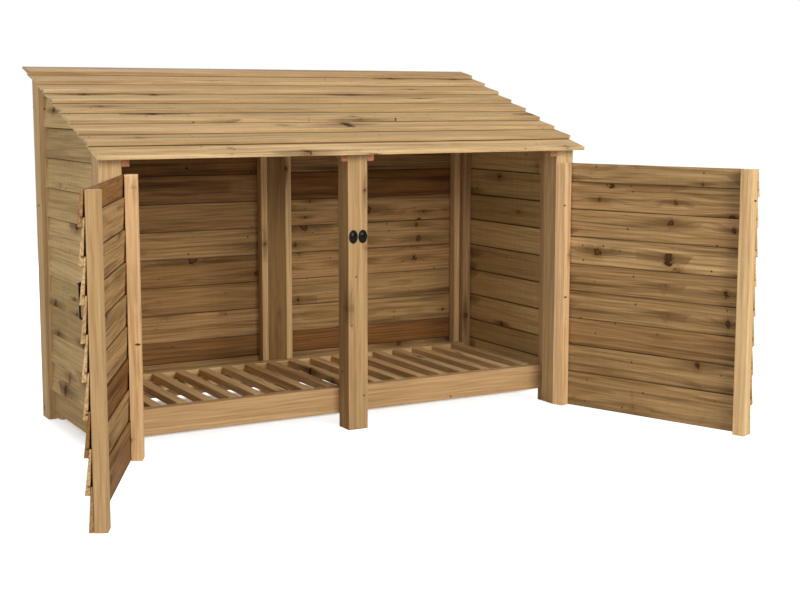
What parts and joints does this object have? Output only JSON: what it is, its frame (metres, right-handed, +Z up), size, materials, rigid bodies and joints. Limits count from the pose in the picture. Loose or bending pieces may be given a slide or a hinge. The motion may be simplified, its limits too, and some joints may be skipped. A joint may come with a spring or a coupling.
{
  "type": "double log store with doors",
  "caption": "Free-standing double-bay timber log store with a lean-to board roof, slatted floor, lapped walls and two hinged doors.",
  "frame": {"origin": "ground level, middle of the foot of the centre front post", "axes": "+X to the right seen from the front, +Y from front to back, +Z up"},
  "size_m": [2.2908, 1.5847, 1.2523],
  "materials": {
    "treated_timber": "planed pressure-treated softwood",
    "treated_boards": "sawn pressure-treated feather-edge boards",
    "black_iron": "black japanned"
  },
  "bodies": {
    "store": {"left_front_post": "treated_timber", "centre_front_post": "treated_timber", "right_front_post": "treated_timber", "left_rear_post": "treated_timber", "centre_rear_post": "treated_timber", "right_rear_post": "treated_timber", "front_floor_rail": "treated_timber", "rear_floor_rail": "treated_timber", "front_slat_ledger": "treated_timber", "rear_slat_ledger": "treated_timber", "left_floor_slats": "treated_timber", "right_floor_slats": "treated_timber", "left_side_front_batten": "treated_timber", "left_side_rear_batten": "treated_timber", "left_side_cladding": "treated_boards", "right_side_front_batten": "treated_timber", "right_side_rear_batten": "treated_timber", "right_side_cladding": "treated_boards", "rear_left_outer_batten": "treated_timber", "rear_left_inner_batten": "treated_timber", "rear_left_cladding": "treated_boards", "rear_right_outer_batten": "treated_timber", "rear_right_inner_batten": "treated_timber", "rear_right_cladding": "treated_boards", "left_rafter": "treated_timber", "centre_left_rafter": "treated_timber", "centre_right_rafter": "treated_timber", "right_rafter": "treated_timber", "roof_boards": "treated_boards", "left_hinge_plates": "black_iron", "right_hinge_plates": "black_iron", "left_hook_eye": "black_iron", "right_hook_eye": "black_iron"},
    "left_door": {"left_door_cladding": "treated_boards", "left_door_hinge_batten": "treated_timber", "left_door_free_batten": "treated_timber", "left_hinge_straps": "black_iron", "left_cabin_hook": "black_iron"},
    "right_door": {"right_door_cladding": "treated_boards", "right_door_hinge_batten": "treated_timber", "right_door_free_batten": "treated_timber", "right_hinge_straps": "black_iron", "right_cabin_hook": "black_iron"}
  },
  "joints": [
    {"name": "left_door_hinge", "type": "hinge", "parent": "store", "child": "left_door", "pos_m": [-0.84, -0.0445, 0.336], "axis": [0, 0, -1], "range_deg": [-116, 59]},
    {"name": "right_door_hinge", "type": "hinge", "parent": "store", "child": "right_door", "pos_m": [0.84, -0.0445, 0.336], "axis": [0, 0, 1], "range_deg": [-110, 65]}
  ]
}
